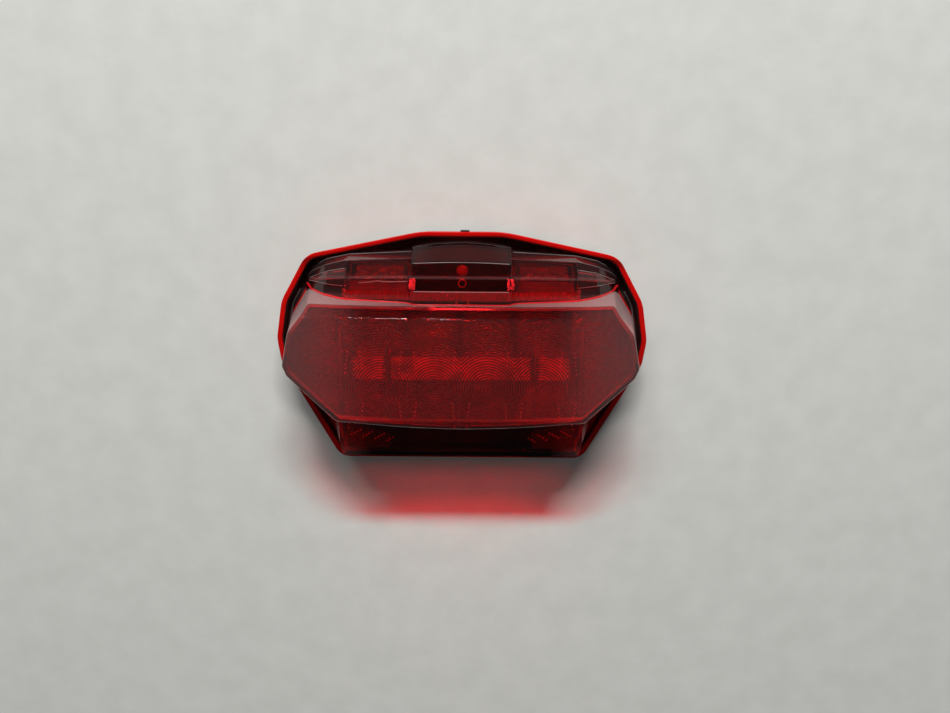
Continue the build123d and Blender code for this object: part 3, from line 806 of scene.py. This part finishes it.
turn_side = turning(plate_outline)
for index in range(LAMPS):
    centre = Vector((LAMP_PITCH * (index - (LAMPS - 1) / 2), LAMP_ROW, 0))
    cell = ringed_sheet(centre, 40 * MM)
    left = centre.x - LAMP_PITCH / 2 + CELL_GAP
    right = centre.x + LAMP_PITCH / 2 - CELL_GAP
    if index > 0:
        cut_away(cell, (left, 0, 0), (-1, 0, 0))
    if index < LAMPS - 1:
        cut_away(cell, (right, 0, 0), (1, 0, 0))
    for here, following in zip(plate_outline, plate_outline[1:] + plate_outline[:1]):
        along = following - here
        if along.length > 0.05 * MM:
            cut_away(cell, here, Vector((along.y, -along.x, 0)) * turn_side)
    give_depth(cell, plate_low[2])
    if index == 0:
        whole = cell
    else:
        scratch = bpy.data.meshes.new("cell")
        cell.to_mesh(scratch)
        cell.free()
        whole.from_mesh(scratch)
        bpy.data.meshes.remove(scratch)
add_piece("fresnel_rings", whole, OPTIC, "red_optic", "fresnel_plate", smooth=True)

# Bright strip of the reflector that shows above the lamps, between the ribs
END_X = 58.4 * MM
strip_mesh = bmesh.new()
for low_x, high_x in ((-54, -38.2), (-33.4, -0.6), (0.6, 33.4), (38.2, 54)):
    rows = []
    for y, z in ((-0.6, 43.2), (-3.4, 42.6), (-6.4, 41.4), (-9.0, 39.6), (-11.2, 37.2)):
        rows.append([strip_mesh.verts.new((x * MM, y * MM, z * MM)) for x in (low_x, high_x)])
    for y, z in ((-11.2, 36.6), (-0.6, 36.6)):
        rows.append([strip_mesh.verts.new((x * MM, y * MM, z * MM)) for x in (low_x, high_x)])
    for first, second in zip(rows, rows[1:] + rows[:1]):
        strip_mesh.faces.new((first[0], first[1], second[1], second[0]))
    strip_mesh.faces.new([row[0] for row in rows])
    strip_mesh.faces.new([row[1] for row in rows])
add_piece("band_reflector", strip_mesh, BAND, "red_optic")

# Thin upright ridges on the plate over the black dividers
ridge_mesh = bmesh.new()
ridge_top = plate_high[2] + 0.25 * MM
for x, width in ((-END_X, 1.1), (-RIB_X, 0.5), (RIB_X, 0.5), (END_X, 1.1)):
    half = width * MM / 2
    block(ridge_mesh, (x - half, -28 * MM, plate_high[2] - 0.2 * MM), (x + half, 13 * MM, ridge_top))
add_piece("plate_ridges", ridge_mesh, FACET, "red_optic")

# Columns of small round dots beside each lamp, painted bright red as glints of the ring facets
dot_mesh = bmesh.new()
for index in range(LAMPS):
    centre_x = LAMP_PITCH * (index - (LAMPS - 1) / 2)
    for side in (-1, 1):
        for row in range(6):
            for up in (-1, 1):
                place = Vector((
                    centre_x + side * (8.8 + 0.25 * row) * MM,
                    LAMP_ROW + up * (7.5 + 2.1 * row) * MM,
                    plate_high[2] - 0.05 * MM,
                ))
                if abs(place.x) < 60 * MM:
                    bump_dot(dot_mesh, place, 0.3 * MM, 6, 2)
add_piece("plate_dots", dot_mesh, GLINT_DOT, "red_optic")

# Crinkled reflector pieces in the side windows
facets = bmesh.new()
FACET_WIDTH = 2.9 * MM
for side in (-1, 1):
    for index in range(8):
        lift = (index * 5 % 8) / 8
        x = (29.5 * MM + FACET_WIDTH * index) * side
        low = (min(x, x + FACET_WIDTH * side) + 0.1 * MM, (35.6 + 1.6 * lift) * MM, 32.6 * MM)
        high = (low[0] + FACET_WIDTH - 0.2 * MM, low[1] + (1.6 + 1.2 * lift) * MM, (33.6 + 1.0 * lift) * MM)
        block(facets, low, high)
    low_x, high_x = sorted((27.0 * MM * side, 55.0 * MM * side))
    block(facets, (low_x, 31.8 * MM, 33.0 * MM), (high_x, 35.3 * MM, 34.0 * MM))
add_piece("guide_facets", facets, FACET, "red_guide")

# Fluted sheet below the lower band of the upper strip
FLUTE_PITCH = 0.9 * MM
FLUTE_DEPTH = 0.35 * MM
FLUTE_END = 58 * MM
FLUTE_TOP = 31.6 * MM
FLUTE_FOOT = 27.0 * MM
flutes = bmesh.new()
columns = []
for index in range(int(2 * FLUTE_END / FLUTE_PITCH * 4) + 1):
    x = -FLUTE_END + FLUTE_PITCH * index / 4
    wave = 0.5 - 0.5 * math.cos(math.tau * index / 4)
    column = []
    for y in (FLUTE_TOP, FLUTE_FOOT):
        hit = lens_surface.ray_cast(Vector((x, (FLUTE_TOP + FLUTE_FOOT) / 2, SKY)), DOWN)[0]
        column.append(Vector((x, y, hit.z - 3.0 * MM - FLUTE_DEPTH * wave)))
    for y in (FLUTE_FOOT, FLUTE_TOP):
        column.append(Vector((x, y, column[0].z - 1.2 * MM)))
    columns.append([flutes.verts.new(place) for place in column])
for first, second in zip(columns, columns[1:]):
    for side in range(4):
        after = (side + 1) % 4
        flutes.faces.new((first[side], first[after], second[after], second[side]))
flutes.faces.new(columns[0])
flutes.faces.new(columns[-1])
add_piece("strip_flutes", flutes, FLUTED, "red_guide")

# ---------------------------------------------------------------- dots of the reflex panels
for node in ("reflex_panel_left", "reflex_panel_right"):
    panel_low, panel_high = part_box(node)
    panel = bmesh.new()
    block(panel, panel_low, (panel_high[0], panel_high[1], panel_high[2] - 0.5 * MM))
    columns = 12
    rows = 6
    pitch_x = (panel_high[0] - panel_low[0]) / columns
    pitch_y = (panel_high[1] - panel_low[1]) / rows
    for column in range(columns):
        for row in range(rows):
            place = Vector((
                panel_low[0] + pitch_x * (column + 0.5),
                panel_low[1] + pitch_y * (row + 0.5),
                panel_high[2] - 0.55 * MM,
            ))
            bump_dot(panel, place, 0.5 * MM)
    add_piece(node.replace("panel", "dots"), panel, REFLEX, "red_reflex", node)

# Brighter dots scattered over the panels and between them, painted bright red as glints
sparkle = bmesh.new()
SPARKLE_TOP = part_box("reflex_panel_left")[1][2] + 0.1 * MM
for side in (-1, 1):
    for index in range(16):
        column = index * 7 % 16
        x = (57.0 - 1.5 * column) * MM * side
        y = (-39.0 - 1.1 * (index * 5 % 4) - 0.25 * column) * MM
        bump_dot(sparkle, Vector((x, y, SPARKLE_TOP)), 0.32 * MM, 6, 2)
add_piece("reflex_sparkle", sparkle, GLINT_DOT, "red_reflex")

# ---------------------------------------------------------------- floor, camera, light
floor_mesh = bpy.data.meshes.new("floor")
SIDE = 3.0
floor_mesh.from_pydata(
    [(-SIDE, -SIDE, 0), (SIDE, -SIDE, 0), (SIDE, SIDE, 0), (-SIDE, SIDE, 0)], [], [(0, 1, 2, 3)]
)
floor = bpy.data.objects.new("floor", floor_mesh)
scene.collection.objects.link(floor)
floor_mesh.materials.append(
    solid_finish("floor_pale", (0.70, 0.70, 0.665), (0.74, 0.74, 0.705), 0.5, 400, 0.03)
)

CAMERA_PLACE = (0.00682, 0.06624, 0.38735)
CAMERA_LENS = 27.12
TILT = math.radians(11)
ROLL = math.radians(0.5)
look = Vector((0, -math.sin(TILT), -math.cos(TILT)))
up = Vector((0, math.cos(TILT), -math.sin(TILT)))
right = Vector((1, 0, 0))
camera_right = right * math.cos(ROLL) + up * math.sin(ROLL)
camera_up = up * math.cos(ROLL) - right * math.sin(ROLL)
camera_data = bpy.data.cameras.new("camera")
camera_data.sensor_width = 36
camera_data.lens = CAMERA_LENS
camera_data.clip_start = 0.01
camera = bpy.data.objects.new("camera", camera_data)
turn = Matrix((camera_right, camera_up, -look)).transposed().to_4x4()
camera.matrix_world = Matrix.Translation(CAMERA_PLACE) @ turn
scene.collection.objects.link(camera)
scene.camera = camera


def lamp(name, place, aim, width, height, power, color=(1, 1, 1)):
    """A rectangular soft lamp that faces a point."""
    data = bpy.data.lights.new(name, "AREA")
    data.shape = "RECTANGLE"
    data.size = width
    data.size_y = height
    data.energy = power
    data.color = color
    made = bpy.data.objects.new(name, data)
    made.location = place
    made.rotation_euler = (Vector(aim) - Vector(place)).to_track_quat("-Z", "Y").to_euler()
    scene.collection.objects.link(made)
    return made


key_left = lamp("key_left", (-0.48, 1.68, 1.38), (0, 0, 0.03), 0.90, 0.11, 15, (1.0, 1.0, 0.985))
key_left.visible_transmission = False
key_middle = lamp("key_middle", (0.12, 1.68, 1.38), (0, 0, 0.03), 0.90, 0.19, 41, (1.0, 1.0, 0.985))
key_middle.visible_glossy = False


def studio_world():
    """A dim studio: dark overhead, paler at both sides and behind the top edge."""
    world = bpy.data.worlds.new("studio")
    world.use_nodes = True
    tree = world.node_tree
    background = tree.nodes["Background"]
    direction = tree.nodes.new("ShaderNodeTexCoord").outputs["Generated"]
    split = tree.nodes.new("ShaderNodeSeparateXYZ")
    tree.links.new(direction, split.inputs[0])

    def number(operation, *values):
        made = tree.nodes.new("ShaderNodeMath")
        made.operation = operation
        for index, value in enumerate(values):
            if isinstance(value, (int, float)):
                made.inputs[index].default_value = value
            else:
                tree.links.new(value, made.inputs[index])
        return made.outputs[0]

    def ramp(value, low, high, to_low, to_high):
        made = tree.nodes.new("ShaderNodeMapRange")
        made.interpolation_type = "SMOOTHSTEP"
        tree.links.new(value, made.inputs["Value"])
        made.inputs["From Min"].default_value = low
        made.inputs["From Max"].default_value = high
        made.inputs["To Min"].default_value = to_low
        made.inputs["To Max"].default_value = to_high
        return made.outputs["Result"]

    sideways = number("ABSOLUTE", split.outputs[0])
    sides = ramp(sideways, 0.12, 0.50, 0.0, SIDE_GLOW)
    behind = ramp(split.outputs[1], -0.2, 0.9, 0.0, BACK_GLOW)
    total = number("ADD", number("ADD", sides, behind), DIM)
    tree.links.new(total, background.inputs["Strength"])
    background.inputs["Color"].default_value = (0.93, 0.96, 1.0, 1)
    return world


DIM = 0.03
SIDE_GLOW = 0.07
BACK_GLOW = 0.03
scene.world = studio_world()
scene.view_settings.view_transform = "Standard"
